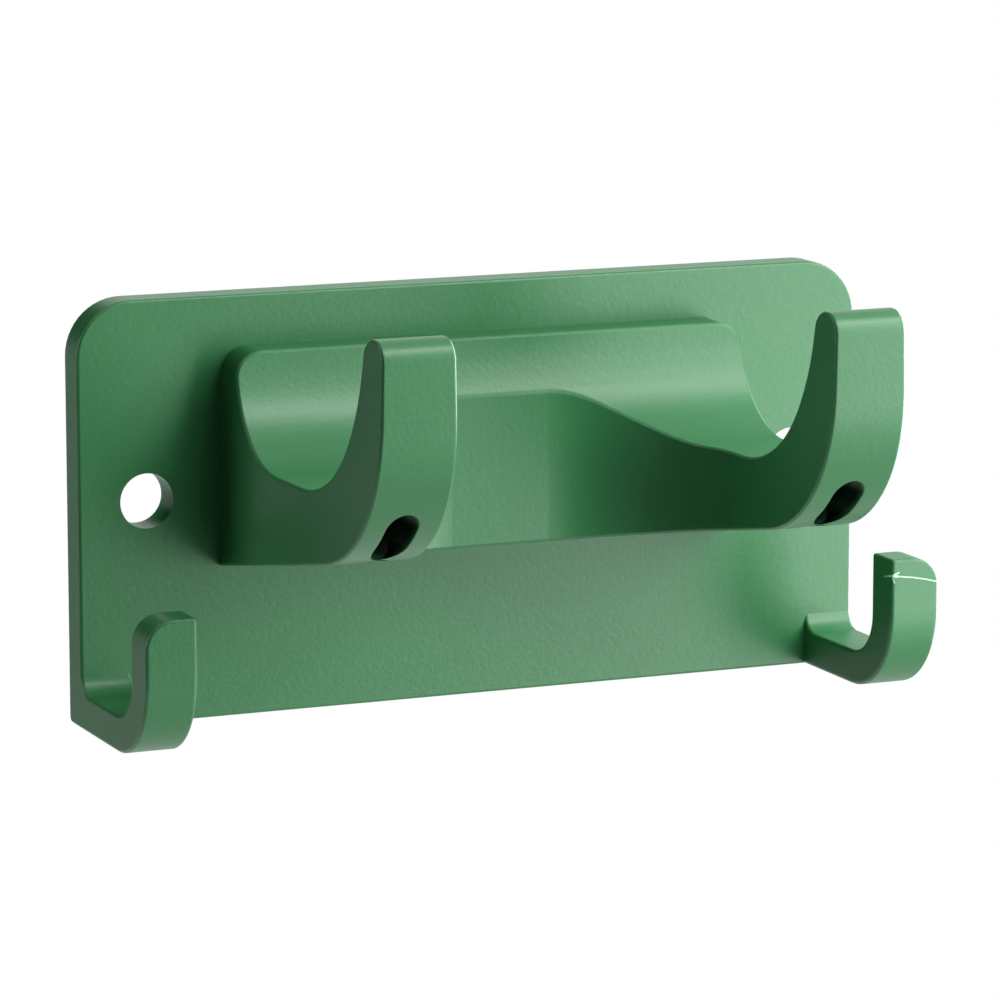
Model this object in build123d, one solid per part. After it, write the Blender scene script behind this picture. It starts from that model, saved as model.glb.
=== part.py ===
from build123d import *
import os
from math import acos, cos, degrees, radians, tan

# A one-piece wall hook for garden tools.
# Millimetres. X runs along the plate, the wall face is y = 0, the hooks stand out towards -Y and +Z is up.
# Heights below are measured from the plate's bottom edge, and distances out are measured from the wall.
# At the end the piece is lowered so that the origin lies midway between the two screw holes.

# Back plate
PLATE_WIDTH = 120.0
PLATE_HEIGHT = 60.0
PLATE_THICKNESS = 5.0
PLATE_CORNER_RADIUS = 8.0

# Screw holes
HOLE_SPACING = 100.0
HOLE_HEIGHT = 31.7
HOLE_DIAMETER = 7.8

# Big cradle: its section seen from the side
CRADLE_TOP = 52.8
CRADLE_WALL_FRONT = 10.9
TROUGH_FLOOR = 37.7
TROUGH_FLAT = 9.5
LIP_LOWER_RADIUS = 20.0
LIP_LOWER_SWEEP = 55.75
LIP_UPPER_RADIUS = 28.9
LIP_TOP = 61.1
LIP_THICKNESS = 6.35
LIP_TIP_FLAT = 0.55
UNDERSIDE_HEIGHT = 21.7
BEND_HEIGHT = 32.0
BEND_RADIUS = 22.4

# Big cradle: its shape seen from above and from the front, with widths taken level with the wall's top.
# The cradle narrows on its way out and on its way up, and the gap opens on its way up.
CRADLE_WIDTH = 77.8
SIDE_DRAFT = 0.75
RISE_DRAFT = 1.0
CRADLE_CORNER_RADIUS = 4.0
GAP_WIDTH = 54.9
GAP_BACK = 13.05
GAP_CORNER_RADIUS = 20.0

# Slots through the lower bend of each big hook, with depths measured back from the lip's front
SLOT_WIDTH = 4.7
FACE_SLOT_TOP = 37.5
FACE_SLOT_BOTTOM = 29.7
FACE_SLOT_DEPTH = 22.35
UNDER_SLOT_SETBACK = 15.25
UNDER_SLOT_LENGTH = 8.1
UNDER_SLOT_TOP = 35.3

# Small hooks at the bottom corners
SMALL_HOOK_WIDTH = 7.4
SMALL_HOOK_FRONT = 32.6
SMALL_HOOK_TOP = 20.4
SMALL_FLOOR = 5.0
SMALL_LIP_THICKNESS = 6.2
SMALL_ROOT_RADIUS = 3.2
SMALL_INNER_RADIUS = 6.5
SMALL_OUTER_RADIUS = 12.6
SMALL_TIP_CORNER_RADIUS = 4.0

# Softened edges: the plate's front and the small hooks are rounded, the cradle's rims are chamfered
EDGE_RADIUS = 0.45
EDGE_CHAMFER = 0.3
FOOT_RADIUS = 1.2

# How far cutting shapes run past what they cut, and how deep a small hook's root is sunk in the plate
OVERRUN = 2.0
ROOT_SINK = 0.1

# How near counts as level when edges are picked, and how much of its direction makes an edge parallel
NEAR = 0.01
PARALLEL = 0.99

half_width = PLATE_WIDTH / 2
root = PLATE_THICKNESS / 2


def nearest_vertex(shape, x, y):
    """The corner of a flat outline that lies closest to (x, y)."""
    return shape.vertices().sort_by_distance(Vector(x, y, 0))[0]


# Back plate: its side view has a rounded foot at the wall, its front view has two large top corners,
# and the outline of its front face is softened.
plate_profile = Pos(-root, PLATE_HEIGHT / 2) * Rectangle(PLATE_THICKNESS, PLATE_HEIGHT)
plate_profile = fillet(nearest_vertex(plate_profile, 0, 0), FOOT_RADIUS)
plate_outline = Pos(0, PLATE_HEIGHT / 2) * Rectangle(PLATE_WIDTH, PLATE_HEIGHT)
plate_outline = fillet(plate_outline.vertices().group_by(Axis.Y)[-1], PLATE_CORNER_RADIUS)
plate_outline = fillet(plate_outline.vertices().group_by(Axis.Y)[0], EDGE_RADIUS)
plate_length = extrude(Plane.YZ * plate_profile, half_width, both=True)
plate_front = extrude(Plane.XZ * plate_outline, PLATE_THICKNESS)
plate = plate_length & plate_front
plate = fillet(plate.faces().sort_by(Axis.Y)[0].edges(), EDGE_RADIUS)

# Section of the big cradle in (y, z): down the wall's front, along the trough and up inside the lip.
wall_radius = CRADLE_TOP - TROUGH_FLOOR
wall_arc = JernArc((-CRADLE_WALL_FRONT, CRADLE_TOP), (0, -1), wall_radius, -90)
floor_line = Line(wall_arc @ 1, (wall_arc @ 1) + Vector(-TROUGH_FLAT, 0))
lip_lower = JernArc(floor_line @ 1, (-1, 0), LIP_LOWER_RADIUS, -LIP_LOWER_SWEEP)
lip_climb = (LIP_TOP - (lip_lower @ 1).Y) / LIP_UPPER_RADIUS
lip_upper_sweep = degrees(acos(cos(radians(LIP_LOWER_SWEEP)) - lip_climb)) - LIP_LOWER_SWEEP
lip_upper = JernArc(lip_lower @ 1, lip_lower % 1, LIP_UPPER_RADIUS, -lip_upper_sweep)
inner_curve = [wall_arc, floor_line, lip_lower, lip_upper]

# The same section continues over the tip, down the front, round the bend and back along the underside.
# The lip's front stands one lip thickness in front of the inner curve's upper end, and the underside
# climbs from its height at the plate to the height of the bend's corner, before the bend is rounded.
lip_front = LIP_THICKNESS - (lip_upper @ 1).X
lip_tip_radius = (LIP_THICKNESS - LIP_TIP_FLAT) / 2
underside_slope = (BEND_HEIGHT - UNDERSIDE_HEIGHT) / (lip_front - PLATE_THICKNESS)
bend_corner = (-lip_front, BEND_HEIGHT)
underside_root = (-root, UNDERSIDE_HEIGHT - underside_slope * (PLATE_THICKNESS - root))
outer_path = Polyline(
    lip_upper @ 1,
    (-lip_front, LIP_TOP),
    bend_corner,
    underside_root,
    (-root, CRADLE_TOP),
    wall_arc @ 0,
)
cradle_section = make_face(inner_curve + outer_path.edges())
cradle_section = fillet(nearest_vertex(cradle_section, *bend_corner), BEND_RADIUS)
cradle_section = fillet(nearest_vertex(cradle_section, -lip_front, LIP_TOP), lip_tip_radius)
lip_inner_top = lip_upper @ 1
cradle_section = fillet(nearest_vertex(cradle_section, lip_inner_top.X, LIP_TOP), lip_tip_radius)
cradle_bar = extrude(Plane.YZ * cradle_section, half_width, both=True)

# The sides are trimmed to a plan that narrows outwards, and the prism on it narrows upwards.
# The plan is drawn level with the plate's foot, so it is wider there by what the draft takes away.
prism_height = LIP_TOP + OVERRUN
side_slope = tan(radians(SIDE_DRAFT))
foot_allowance = tan(radians(RISE_DRAFT)) * CRADLE_TOP
plan_depth = lip_front + 2 * OVERRUN
half_at_wall = CRADLE_WIDTH / 2 + foot_allowance + side_slope * PLATE_THICKNESS
half_at_front = half_at_wall - side_slope * plan_depth
plan_outline = Polyline(
    (-half_at_wall, 0),
    (-half_at_front, -plan_depth),
    (half_at_front, -plan_depth),
    (half_at_wall, 0),
    close=True,
)
cradle = cradle_bar & extrude(make_face(plan_outline.edges()), prism_height, taper=RISE_DRAFT)

# The two top corners of the cradle's wall are rounded when seen from the front.
def is_top_ridge(edge):
    """True for the crosswise edge at either end of the wall's flat top."""
    middle = edge.center()
    return abs(middle.Z - CRADLE_TOP) < NEAR and abs(middle.X) > CRADLE_WIDTH / 2 - OVERRUN

cradle = fillet(cradle.edges().filter_by(is_top_ridge), CRADLE_CORNER_RADIUS)

# The middle of the lip is taken away by a wide bay with two big rounded inner corners,
# which leaves one hook at each end. It is drawn narrower at the foot, because it opens upwards.
bay_back = GAP_BACK + foot_allowance
bay_depth = plan_depth - bay_back
bay = Pos(0, -bay_back - bay_depth / 2) * Rectangle(GAP_WIDTH - 2 * foot_allowance, bay_depth)
bay = fillet(bay.vertices().group_by(Axis.Y)[-1], GAP_CORNER_RADIUS - foot_allowance)
cradle -= extrude(bay, prism_height, taper=-RISE_DRAFT)


# Every rim of the cradle that shows is broken: both sides, the front of the wall's top and the whole bay.
# The crosswise ridges on the hooks are already round, and the seams in the bay are smooth.
def is_rim_edge(edge):
    """True for an edge that follows a side, the front of the wall's top or the rim of the bay."""
    middle = edge.center()
    along = edge.tangent_at(0.5)
    lies_behind = middle.Y > NEAR - CRADLE_WALL_FRONT
    stands_in_bay = abs(along.Z) > PARALLEL and middle.Y > -bay_back - GAP_CORNER_RADIUS - OVERRUN
    if lies_behind or stands_in_bay:
        return False
    runs_crosswise = abs(along.X) > PARALLEL
    return abs(middle.X) < NEAR or not runs_crosswise

cradle = chamfer(cradle.edges().filter_by(is_rim_edge), EDGE_CHAMFER)

# Small hook section in (y, z): floor level with the plate's foot, rounded bend and an upright lip.
# The rounded root runs on a little way inside the plate, so that it meets the plate's face cleanly.
small_inner = SMALL_HOOK_FRONT - SMALL_LIP_THICKNESS
sunk_face = PLATE_THICKNESS - ROOT_SINK
sunk_top = SMALL_FLOOR + SMALL_ROOT_RADIUS + OVERRUN
small_outline = Polyline(
    (-root, 0),
    (-SMALL_HOOK_FRONT, 0),
    (-SMALL_HOOK_FRONT, SMALL_HOOK_TOP),
    (-small_inner, SMALL_HOOK_TOP),
    (-small_inner, SMALL_FLOOR),
    (-sunk_face, SMALL_FLOOR),
    (-sunk_face, sunk_top),
    (-root, sunk_top),
    close=True,
)
small_section = make_face(small_outline.edges())
small_section = fillet(nearest_vertex(small_section, -SMALL_HOOK_FRONT, 0), SMALL_OUTER_RADIUS)
small_section = fillet(nearest_vertex(small_section, -small_inner, SMALL_FLOOR), SMALL_INNER_RADIUS)
small_section = fillet(nearest_vertex(small_section, -sunk_face, SMALL_FLOOR), SMALL_ROOT_RADIUS)
small_side = half_width - SMALL_HOOK_WIDTH
small_hook = Pos(small_side, 0, 0) * extrude(Plane.YZ * small_section, SMALL_HOOK_WIDTH)

# The outer top corner of each small lip is well rounded when seen from the front.
def is_lip_corner(edge):
    """True for the edge along the outer top corner of the small lip."""
    middle = edge.center()
    return abs(middle.X - half_width) < NEAR and abs(middle.Z - SMALL_HOOK_TOP) < NEAR

small_hook = fillet(small_hook.edges().filter_by(is_lip_corner), SMALL_TIP_CORNER_RADIUS)

# All edges round both sides of the small hook and round its tip are softened.
def is_small_outline(edge):
    """True for an edge on either side of the small hook or on the rim of its tip."""
    middle = edge.center()
    buried = middle.Y > NEAR - root
    ends_root = middle.Y > -sunk_face - NEAR and middle.Z > sunk_top - OVERRUN - NEAR
    if buried or ends_root:
        return False
    on_side = abs(middle.X - small_side) < NEAR or abs(middle.X - half_width) < NEAR
    on_tip = middle.Z > SMALL_HOOK_TOP - SMALL_TIP_CORNER_RADIUS
    return on_side or (on_tip and abs(edge.tangent_at(0.5).Y) < NEAR)

small_hook = fillet(small_hook.edges().filter_by(is_small_outline), EDGE_RADIUS)
bracket = plate + cradle + small_hook + mirror(small_hook, Plane.YZ)

# Two plain screw holes go straight through the plate.
hole = Cylinder(HOLE_DIAMETER / 2, PLATE_THICKNESS + 2 * OVERRUN, rotation=(90, 0, 0))
for side in (-1, 1):
    bracket -= Pos(side * HOLE_SPACING / 2, -root, HOLE_HEIGHT) * hole

# Each big hook has an upright slot in its face and a second one in its underside,
# and the two run into each other inside the bend. They stand midway between the hook's
# outer side and the gap, where both meet the lip's front.
side_at_front = half_at_wall - side_slope * lip_front
gap_at_foot = GAP_WIDTH / 2 - foot_allowance
slot_x = (side_at_front + gap_at_foot) / 2
face_slot_height = FACE_SLOT_TOP - FACE_SLOT_BOTTOM
face_slot_middle = (FACE_SLOT_TOP + FACE_SLOT_BOTTOM) / 2
face_slot_end = lip_front - FACE_SLOT_DEPTH
under_slot_middle = lip_front - UNDER_SLOT_SETBACK - UNDER_SLOT_LENGTH / 2
face_slot = Plane.XZ * SlotOverall(face_slot_height, SLOT_WIDTH, rotation=90)
face_cut = extrude(face_slot, FACE_SLOT_DEPTH + OVERRUN)
under_cut = extrude(SlotOverall(UNDER_SLOT_LENGTH, SLOT_WIDTH, rotation=90), UNDER_SLOT_TOP)
for side in (-1, 1):
    bracket -= Pos(side * slot_x, -face_slot_end, face_slot_middle) * face_cut
    bracket -= Pos(side * slot_x, -under_slot_middle, 0) * under_cut

# The origin is moved to the wall face, midway between the two screw holes.
bracket = Pos(0, 0, -HOLE_HEIGHT) * bracket

os.makedirs("parts", exist_ok=True)
export_step(bracket, "parts/hook_bracket.step")
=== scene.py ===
# %% [markdown]
# # A cast hook for garden tools
#
# The object is one casting: a flat back plate, a wide cradle whose lip is cut into two big
# hooks, and a small upturned hook at each lower corner. Its shape is finished before this
# script starts, so the work here is the finish and the picture: a satin green coat with
# painted shade in its slots, one pale hairline mark, the camera and the light.

import math

import bpy
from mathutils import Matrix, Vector


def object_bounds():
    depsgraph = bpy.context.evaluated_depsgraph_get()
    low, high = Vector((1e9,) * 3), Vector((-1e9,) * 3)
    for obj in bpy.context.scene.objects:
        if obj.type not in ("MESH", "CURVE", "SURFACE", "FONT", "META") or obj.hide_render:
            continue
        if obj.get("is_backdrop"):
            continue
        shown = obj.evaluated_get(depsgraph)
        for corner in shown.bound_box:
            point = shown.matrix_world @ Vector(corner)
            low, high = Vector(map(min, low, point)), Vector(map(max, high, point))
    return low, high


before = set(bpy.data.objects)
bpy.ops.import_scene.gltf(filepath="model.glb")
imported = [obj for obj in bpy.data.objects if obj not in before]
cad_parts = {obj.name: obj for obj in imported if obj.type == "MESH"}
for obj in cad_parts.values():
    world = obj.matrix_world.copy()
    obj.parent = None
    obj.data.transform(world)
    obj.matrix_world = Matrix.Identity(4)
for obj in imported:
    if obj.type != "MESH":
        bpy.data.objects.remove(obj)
shape_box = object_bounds()
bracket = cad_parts["hook_bracket"]
size_mm = [(high - low) * 1000 for low, high in zip(*shape_box)]
print("bracket", bracket.name, "size in mm", [round(side, 1) for side in size_mm])

# %% [markdown]
# ## The camera
#
# The photograph looks at the hook from the left of straight ahead and a little from above.
# The lines of the plate still run together slightly, so the camera has to stand at a real
# distance with a long lens; a camera without perspective would draw them parallel. Its
# place is given in the bracket's own frame, whose origin is on the wall face midway
# between the two screw holes. The turn to the right and the drop of its gaze are in
# degrees, and the lens and the sensor are in millimetres.

# %% Place the camera
MM = 0.001
CAMERA_PLACE = Vector((-283.3, -673.8, 127.1)) * MM
CAMERA_TURN = 23.215
CAMERA_DROP = 10.186
LENS = 185.48
SENSOR = 36.0

turn = math.radians(CAMERA_TURN)
drop = math.radians(CAMERA_DROP)
gaze = Vector((math.sin(turn) * math.cos(drop), math.cos(turn) * math.cos(drop), -math.sin(drop)))
camera_data = bpy.data.cameras.new("camera")
camera_data.lens = LENS
camera_data.sensor_width = SENSOR
camera = bpy.data.objects.new("camera", camera_data)
camera.location = CAMERA_PLACE
camera.rotation_mode = "QUATERNION"
camera.rotation_quaternion = gaze.to_track_quat("-Z", "Y")
bpy.context.scene.collection.objects.link(camera)
bpy.context.scene.camera = camera
bpy.context.scene.view_settings.view_transform = "Standard"
print("camera", round(CAMERA_PLACE.length / MM), "mm from the origin")

# %% [markdown]
# ## Shader maths that reads like maths
#
# A finish is a network of nodes. Linking each node by hand hides the idea, so a small class
# wraps an output and lets outputs and numbers be added, subtracted or multiplied with the
# usual signs, on either side of the sign. Each sign adds one Math node, and `maths` adds any
# other kind. A second class holds the material and makes any other node from its type, its
# settings and the values or links of its sockets.

# %% Wrap an output so that signs add Math nodes
class Wire:
    """An output of a node, which can be used in sums as a number would be."""

    def __init__(self, finish, socket):
        self.finish = finish
        self.socket = socket

    def maths(self, operation, *others):
        """One Math node that starts from this output, and its result."""
        return self.finish.node("ShaderNodeMath", {"operation": operation}, dict(enumerate((self, *others))))

    def __add__(self, other):
        return self.maths("ADD", other)

    __radd__ = __add__

    def __sub__(self, other):
        return self.maths("SUBTRACT", other)

    def __rsub__(self, other):
        return self.finish.node("ShaderNodeMath", {"operation": "SUBTRACT"}, {0: other, 1: self})

    def __mul__(self, other):
        return self.maths("MULTIPLY", other)

    __rmul__ = __mul__


class Finish:
    """A network of nodes under construction, with one method that makes any node."""

    def __init__(self, owner):
        owner.use_nodes = True
        self.tree = owner.node_tree
        self.tree.nodes.clear()

    def node(self, kind, settings=None, inputs=None, output=0):
        """Make a node, set it up, fill or link its sockets and return one of its outputs."""
        made = self.tree.nodes.new(kind)
        for name, value in (settings or {}).items():
            setattr(made, name, value)
        for socket, value in (inputs or {}).items():
            if isinstance(value, Wire):
                self.tree.links.new(value.socket, made.inputs[socket])
            else:
                made.inputs[socket].default_value = value
        return Wire(self, made.outputs[output]) if len(made.outputs) else made


print("a sign between two outputs adds one Math node")

# %% [markdown]
# ## The satin green coat
#
# Hooks like this are cast in aluminium and powder coated: dry powder is melted on, and it
# sets with a skin that is not quite level. Three things make it look real. Its colour
# wanders a little in soft clouds. Its skin has the fine waviness that painters call orange
# peel, less than a millimetre from crest to crest, with a finer grain on top that breaks up
# the highlights. And its gloss is satin, so a light shows as a wide soft glow. Photographs
# of real powder could be laid on as images, but they would stretch on the round bends. Noise
# that is placed by the bracket's own coordinates fills space evenly, so it stays on the
# metal and keeps its size on every face.

# %% Clouds, orange peel and grain
green_coat = bpy.data.materials.new("satin green coat")
coat = Finish(green_coat)
place = coat.node("ShaderNodeTexCoord", output="Object")
CLOUDS_PER_METRE = 45.0
PEEL_PER_METRE = 1300.0
GRAIN_PER_METRE = 3600.0


def noise(waves_per_metre, detail):
    """Noise between nought and one over the surface, with finer octaves for more detail."""
    return coat.node("ShaderNodeTexNoise", None, {"Vector": place, "Scale": waves_per_metre, "Detail": detail})


clouds = noise(CLOUDS_PER_METRE, 3.0)
peel = noise(PEEL_PER_METRE, 2.0)
grain = noise(GRAIN_PER_METRE, 1.0)
for name, waves in (("cloud", CLOUDS_PER_METRE), ("orange peel", PEEL_PER_METRE), ("grain", GRAIN_PER_METRE)):
    print("one wave of", name, "is about", round(1000 / waves, 2), "mm")

# %% [markdown]
# ## The pale hairline
#
# A pale hairline mark runs across the face of the right small hook's tip and round both its
# edges, with a short fork at the left end; it is paler, a little sunk and duller than the
# coat. It could be cut into the mesh, but it is only a quarter of a millimetre wide, so it is
# painted. The distance from a point of the surface to a straight stroke is worked out with
# vector maths, and where that distance is small the hairline shows. Each stroke below is a
# start, an end and half a width in millimetres, and the thicker strokes are at the fork.

# %% Draw the strokes of the pale hairline
HAIRLINE_EDGE = 0.05 * MM
HAIRLINE_STROKES = [
    ((52.6, -30.1, -14.1), (52.6, -31.6, -13.8), 0.07),
    ((52.6, -31.6, -13.8), (52.6, -32.6, -13.6), 0.12),
    ((52.6, -32.6, -13.65), (53.5, -32.6, -13.72), 0.14),
    ((53.5, -32.6, -13.72), (56.0, -32.6, -14.05), 0.07),
    ((56.0, -32.6, -14.05), (57.8, -32.6, -14.4), 0.07),
    ((57.8, -32.6, -14.4), (59.6, -32.6, -14.87), 0.07),
    ((59.6, -32.6, -14.87), (60.0, -32.2, -14.98), 0.07),
    ((52.5, -32.6, -13.6), (53.7, -32.6, -13.2), 0.09),
    ((52.6, -32.6, -13.7), (52.8, -32.6, -14.1), 0.12),
    ((52.8, -32.6, -14.1), (53.05, -32.6, -14.65), 0.05),
]


def distance_to_stroke(start, end, half_width):
    """How far the surface is, in metres, from the edge of a straight stroke given in millimetres."""
    first = Vector(start) * MM
    along = Vector(end) * MM - first
    offset = coat.node("ShaderNodeVectorMath", {"operation": "SUBTRACT"}, {0: place, 1: first})
    shadow = coat.node("ShaderNodeVectorMath", {"operation": "DOT_PRODUCT"}, {0: offset, 1: along}, "Value")
    share = coat.node("ShaderNodeClamp", None, {"Value": shadow * (1 / along.length_squared)})
    foot = coat.node("ShaderNodeVectorMath", {"operation": "SCALE"}, {0: along, "Scale": share})
    gap = coat.node("ShaderNodeVectorMath", {"operation": "DISTANCE"}, {0: offset, 1: foot}, "Value")
    return gap - half_width * MM


def fade(value, full, none):
    """One where the value is at full, nought where it is at none, and a straight ramp between."""
    ends = {"Value": value, "From Min": full, "From Max": none, "To Min": 1.0, "To Max": 0.0}
    return coat.node("ShaderNodeMapRange", None, ends)


nearest = distance_to_stroke(*HAIRLINE_STROKES[0])
for stroke in HAIRLINE_STROKES[1:]:
    nearest = nearest.maths("MINIMUM", distance_to_stroke(*stroke))
# where the pale hairline mark shows
hairline = fade(nearest, 0.0, HAIRLINE_EDGE)
print("strokes in the scratch", len(HAIRLINE_STROKES))

# %% [markdown]
# ## Painted shade in the slots
#
# Light hardly leaves a narrow slot, so the two slots in each big hook look almost black, and
# that shade is painted into the coat: their faces are coloured a near-black green. A point of
# the surface belongs to a slot where it lies between the slot's two walls, below the trough,
# in front of the slot's back end and deeper than the skin of the bend, whose round outside
# has one centre line. A material of their own for the slots' faces would end in a hard line;
# this way the painted shade fades in over the first millimetre.

# %% Find the inside of the slots, where shade is painted
SLOT_MIDDLE = 32.8 * MM
SLOT_HALF_WIDTH = 2.45 * MM
SLOT_BACK = -39.9 * MM
SLOT_CEILING = 5.87 * MM
BEND_CENTRE = Vector((0.0, -40.95, 19.09)) * MM
BEND_RADIUS = 22.4 * MM
SLOT_LIP = 0.2 * MM
SLOT_DARK_FROM = 1.0 * MM

across, outward, upward = [coat.node("ShaderNodeSeparateXYZ", None, {0: place}, axis) for axis in range(3)]
off_middle = across.maths("ABSOLUTE") - SLOT_MIDDLE
between_walls = off_middle.maths("ABSOLUTE").maths("LESS_THAN", SLOT_HALF_WIDTH)
in_front = outward.maths("LESS_THAN", SLOT_BACK)
below_trough = upward.maths("LESS_THAN", SLOT_CEILING)
behind_centre = outward - BEND_CENTRE.y
above_centre = upward - BEND_CENTRE.z
from_centre = (behind_centre * behind_centre + above_centre * above_centre).maths("SQRT")
deep = fade(from_centre, BEND_RADIUS - SLOT_DARK_FROM, BEND_RADIUS - SLOT_LIP)
# painted shade: one inside the slots, where the coat is coloured near-black
painted_slot_shade = between_walls * in_front * below_trough * deep
print("slots darkened from", round(SLOT_LIP / MM, 1), "mm below the skin")

# %% [markdown]
# ## Colour, gloss and relief of the coat
#
# The clouds move the colour between two close greens, the slots take a painted shade of
# near-black green, and the pale hairline lays a pale mint over them. The gloss wanders with
# the clouds too and is duller on the hairline. The two noises and the hairline feed one Bump
# node, in real heights: a few hundredths of a millimetre are enough, because a satin skin
# shows every slope.
#
# Powder also rounds every rim a little as it melts. Cutting such a small round on every edge
# of the mesh would cost many faces, so the Bevel node turns the normals near the rims
# instead. It works in front of the plate only: in the inner corner between the plate and
# the cradle it would draw a thin bright line, and the plate's own rims are cut round in the
# shape.

# %% Put the coat together
GREEN_DEEP = (0.020, 0.140, 0.044, 1.0)
GREEN_LIGHT = (0.024, 0.160, 0.052, 1.0)
# near-black green painted into the slots as their shade
SLOT_PAINTED_SHADE = (0.003, 0.016, 0.006, 1.0)
# the pale colour of the hairline mark across the small hook's tip
HAIRLINE_COLOUR = (0.48, 0.74, 0.54, 1.0)
SATIN = 0.37
GLOSS_WANDER = 0.06
HAIRLINE_DULLNESS = 0.2
PEEL_HEIGHT = 0.024 * MM
GRAIN_HEIGHT = 0.009 * MM
RIM_RADIUS = 0.35 * MM
RIM_SAMPLES = 4
PLATE_SKIN = -5.6 * MM
HAIRLINE_DEPTH = 0.03 * MM
HEIGHTS_ARE_METRES = 1.0
FULL_STRENGTH = 1.0


def blend(share, first, second):
    """A colour that goes from the first to the second as share goes from 0 to 1."""
    return coat.node("ShaderNodeMix", {"data_type": "RGBA"}, {0: share, 6: first, 7: second}, 2)


# the slots take a painted shade of near-black green
green = blend(painted_slot_shade, blend(clouds, GREEN_DEEP, GREEN_LIGHT), SLOT_PAINTED_SHADE)
# the pale hairline mark over the green
colour = blend(hairline, green, HAIRLINE_COLOUR)
gloss = SATIN + clouds * GLOSS_WANDER + hairline * HAIRLINE_DULLNESS
height = peel * PEEL_HEIGHT + grain * GRAIN_HEIGHT - hairline * HAIRLINE_DEPTH
rounded = coat.node("ShaderNodeBevel", {"samples": RIM_SAMPLES}, {"Radius": RIM_RADIUS})
plain = coat.node("ShaderNodeNewGeometry", output="Normal")
before_plate = outward.maths("LESS_THAN", PLATE_SKIN)
facing = coat.node("ShaderNodeMix", {"data_type": "VECTOR"}, {0: before_plate, 4: plain, 5: rounded}, 1)
bump = {"Height": height, "Distance": HEIGHTS_ARE_METRES, "Strength": FULL_STRENGTH, "Normal": facing}
relief = coat.node("ShaderNodeBump", None, bump)
skin = coat.node("ShaderNodeBsdfPrincipled", None, {"Base Color": colour, "Roughness": gloss, "Normal": relief})
coat.node("ShaderNodeOutputMaterial", None, {"Surface": skin})
for painted_slot in bracket.material_slots:
    painted_slot.material = green_coat
print("material slots painted", len(bracket.material_slots), "with", len(coat.tree.nodes), "nodes")

# %% [markdown]
# ## White floor and white surroundings
#
# The hook is shown alone on white. More light would make the background white too, but it
# would bleach the coat. So the Light Path node tells what kind of ray arrives: the camera,
# and any gloss or glass, sees plain white in the surroundings and on the floor, while other
# light meets ordinary white card and a dim grey room.

# %% Lay the floor and light the surroundings
CARD_WHITE = (0.80, 0.80, 0.80, 1.0)
PURE_WHITE = (1.0, 1.0, 1.0, 1.0)
ROOM_GREY = (0.01, 0.01, 0.01, 1.0)
FLOOR_SIZE = 1.6
FLOOR_DROP = 0.30


def white_seen(finish):
    """One where a ray comes from the camera, from gloss or through glass, and nought elsewhere."""
    kinds = ("Is Camera Ray", "Is Glossy Ray", "Is Transmission Ray")
    camera_ray, glossy_ray, clear_ray = [finish.node("ShaderNodeLightPath", output=kind) for kind in kinds]
    return camera_ray.maths("MAXIMUM", glossy_ray).maths("MAXIMUM", clear_ray)


def stage_piece(name, points, faces, material):
    """Make a piece of the studio, which is no part of the hook."""
    mesh = bpy.data.meshes.new(name)
    mesh.from_pydata(points, [], faces)
    mesh.materials.append(material)
    piece = bpy.data.objects.new(name, mesh)
    bpy.context.scene.collection.objects.link(piece)
    piece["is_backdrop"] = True
    return piece


card = bpy.data.materials.new("white card")
paper = Finish(card)
lit_card = paper.node("ShaderNodeBsdfDiffuse", None, {"Color": CARD_WHITE})
plain_white = paper.node("ShaderNodeEmission", None, {"Color": PURE_WHITE, "Strength": 1.0})
shown = paper.node("ShaderNodeMixShader", None, {0: white_seen(paper), 1: lit_card, 2: plain_white})
paper.node("ShaderNodeOutputMaterial", None, {"Surface": shown})
half_floor = FLOOR_SIZE / 2
floor_height = shape_box[0].z - FLOOR_DROP
signs = ((-1, -1), (1, -1), (1, 1), (-1, 1))
floor_corners = [(x * half_floor, y * half_floor, floor_height) for x, y in signs]
stage_piece("floor", floor_corners, [(0, 1, 2, 3)], card)

studio = bpy.data.worlds.new("studio")
bpy.context.scene.world = studio
room = Finish(studio)
dim_grey = room.node("ShaderNodeBackground", None, {"Color": ROOM_GREY, "Strength": 1.0})
open_white = room.node("ShaderNodeBackground", None, {"Color": PURE_WHITE, "Strength": 1.0})
surroundings = room.node("ShaderNodeMixShader", None, {0: white_seen(room), 1: dim_grey, 2: open_white})
room.node("ShaderNodeOutputWorld", None, {"Surface": surroundings})
print("floor of", FLOOR_SIZE, "m,", FLOOR_DROP, "m under the hook")

# %% [markdown]
# ## A dark tent
#
# A satin coat mirrors what stands in front of it, and white on that side would wash its dark
# faces out. A photographer hangs black cloth round the front for that, and here a ring of
# dark panels does the same. It has no roof, and it is left open behind the hook along the
# camera's line of sight, so that the right rims still mirror white. The camera itself
# looks through it.

# %% Put up the tent
BLACK_CLOTH = (0.005, 0.005, 0.005, 1.0)
TENT_RADIUS = 2.5
TENT_HEM = -2.0
TENT_TOP = 2.0
TENT_OPEN = 18
TENT_PANELS = 24
FULL_TURN = 360

cloth = bpy.data.materials.new("black cloth")
weave = Finish(cloth)
black = weave.node("ShaderNodeBsdfDiffuse", None, {"Color": BLACK_CLOTH})
weave.node("ShaderNodeOutputMaterial", None, {"Surface": black})
panel_width = (FULL_TURN - 2 * TENT_OPEN) / TENT_PANELS
panel_angles = [turn + math.radians(TENT_OPEN + step * panel_width) for step in range(TENT_PANELS + 1)]
rim = [(math.sin(angle), math.cos(angle)) for angle in panel_angles]
hem = [(x * TENT_RADIUS, y * TENT_RADIUS, TENT_HEM) for x, y in rim]
top = [(x * TENT_RADIUS, y * TENT_RADIUS, TENT_TOP) for x, y in rim]
panels = [(i, i + 1, i + len(rim) + 1, i + len(rim)) for i in range(TENT_PANELS)]
tent = stage_piece("dark tent", hem + top, panels, cloth)
tent.visible_camera = False
print("tent of", TENT_PANELS, "panels, open over", 2 * TENT_OPEN, "degrees")

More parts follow.
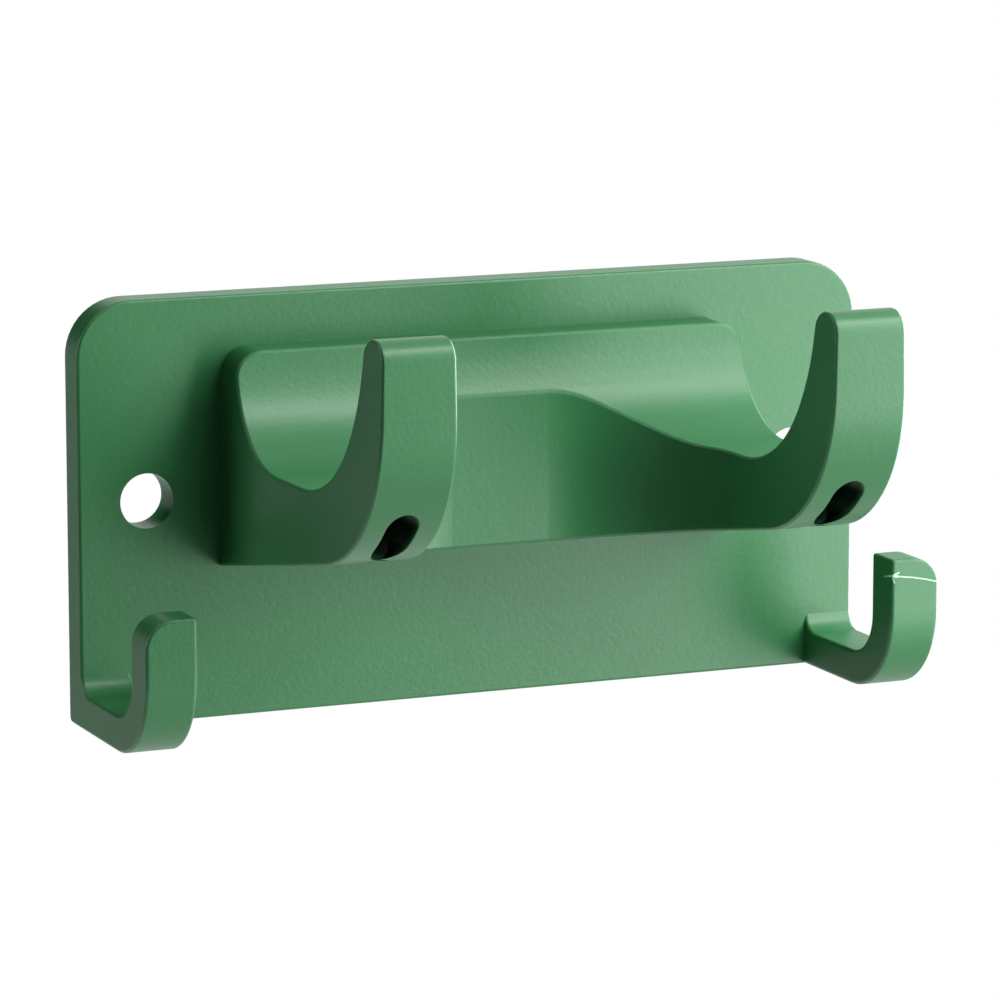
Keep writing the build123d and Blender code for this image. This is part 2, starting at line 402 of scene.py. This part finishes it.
# %% [markdown]
# ## The lamps
#
# The light comes from the right and a little from the front: faces that look right are
# bright, faces that look left are dark, and the plate grows paler towards the right, where
# it starts to mirror the lamps. Large area lamps give that soft glow; a spot or the sun
# would give hard bright points. Three softboxes hang one above the other on that side. The
# small band lamp above draws the soft bright band in the troughs and on the tips. A weak
# glow from below opens the undersides, a weak lamp at the left keeps the dark faces green,
# another behind the plate is mirrored in its left edge, and a tall strip at the right
# draws the thin bright rims.

# %% Hang the lamps
def hang_lamp(name, azimuth, elevation, distance, width, height, power):
    """Hang a rectangular lamp that faces the hook, with angles in degrees, lengths in metres and watts.

    Azimuth 0 is straight in front of the plate and 90 is on its right.
    """
    round_angle = math.radians(azimuth)
    up_angle = math.radians(elevation)
    level = math.cos(up_angle)
    direction = Vector((math.sin(round_angle) * level, -math.cos(round_angle) * level, math.sin(up_angle)))
    data = bpy.data.lights.new(name, "AREA")
    data.shape = "RECTANGLE"
    data.size = width
    data.size_y = height
    data.energy = power
    lamp = bpy.data.objects.new(name, data)
    lamp.location = direction * distance
    lamp.rotation_mode = "QUATERNION"
    lamp.rotation_quaternion = (-direction).to_track_quat("-Z", "Y")
    bpy.context.scene.collection.objects.link(lamp)
    print(name, distance, "m away,", width, "by", height, "m,", power, "W")


hang_lamp("upper softbox", 50.0, 42.0, 0.48, 0.24, 0.24, 1.15)
hang_lamp("band lamp", 24.0, 52.0, 0.48, 0.20, 0.10, 0.7)
hang_lamp("middle softbox", 46.0, 18.0, 0.48, 0.32, 0.24, 1.9)
hang_lamp("lower softbox", 43.0, -10.0, 0.48, 0.32, 0.24, 1.6)
hang_lamp("floor glow", 55.0, -34.0, 0.48, 0.24, 0.24, 0.3)
hang_lamp("back lamp", -110.0, 8.0, 0.60, 0.24, 0.30, 1.1)
hang_lamp("edge lamp", -157.0, -10.0, 0.60, 0.30, 0.30, 0.12)
hang_lamp("rim lamp", 112.0, 12.0, 0.60, 0.20, 0.60, 4.6)

# %% [markdown]
# ## Compare the size
#
# The coat adds nothing to the size, so the box of what is shown has to equal the box of the
# shape. How far each corner moved between the two is printed.

# %% Print how far each corner moved
shown_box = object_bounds()
for corner, before, after in zip(("low", "high"), shape_box, shown_box):
    print(corner, "corner moved by", [round((b - a) * 1000, 4) for a, b in zip(before, after)], "mm")
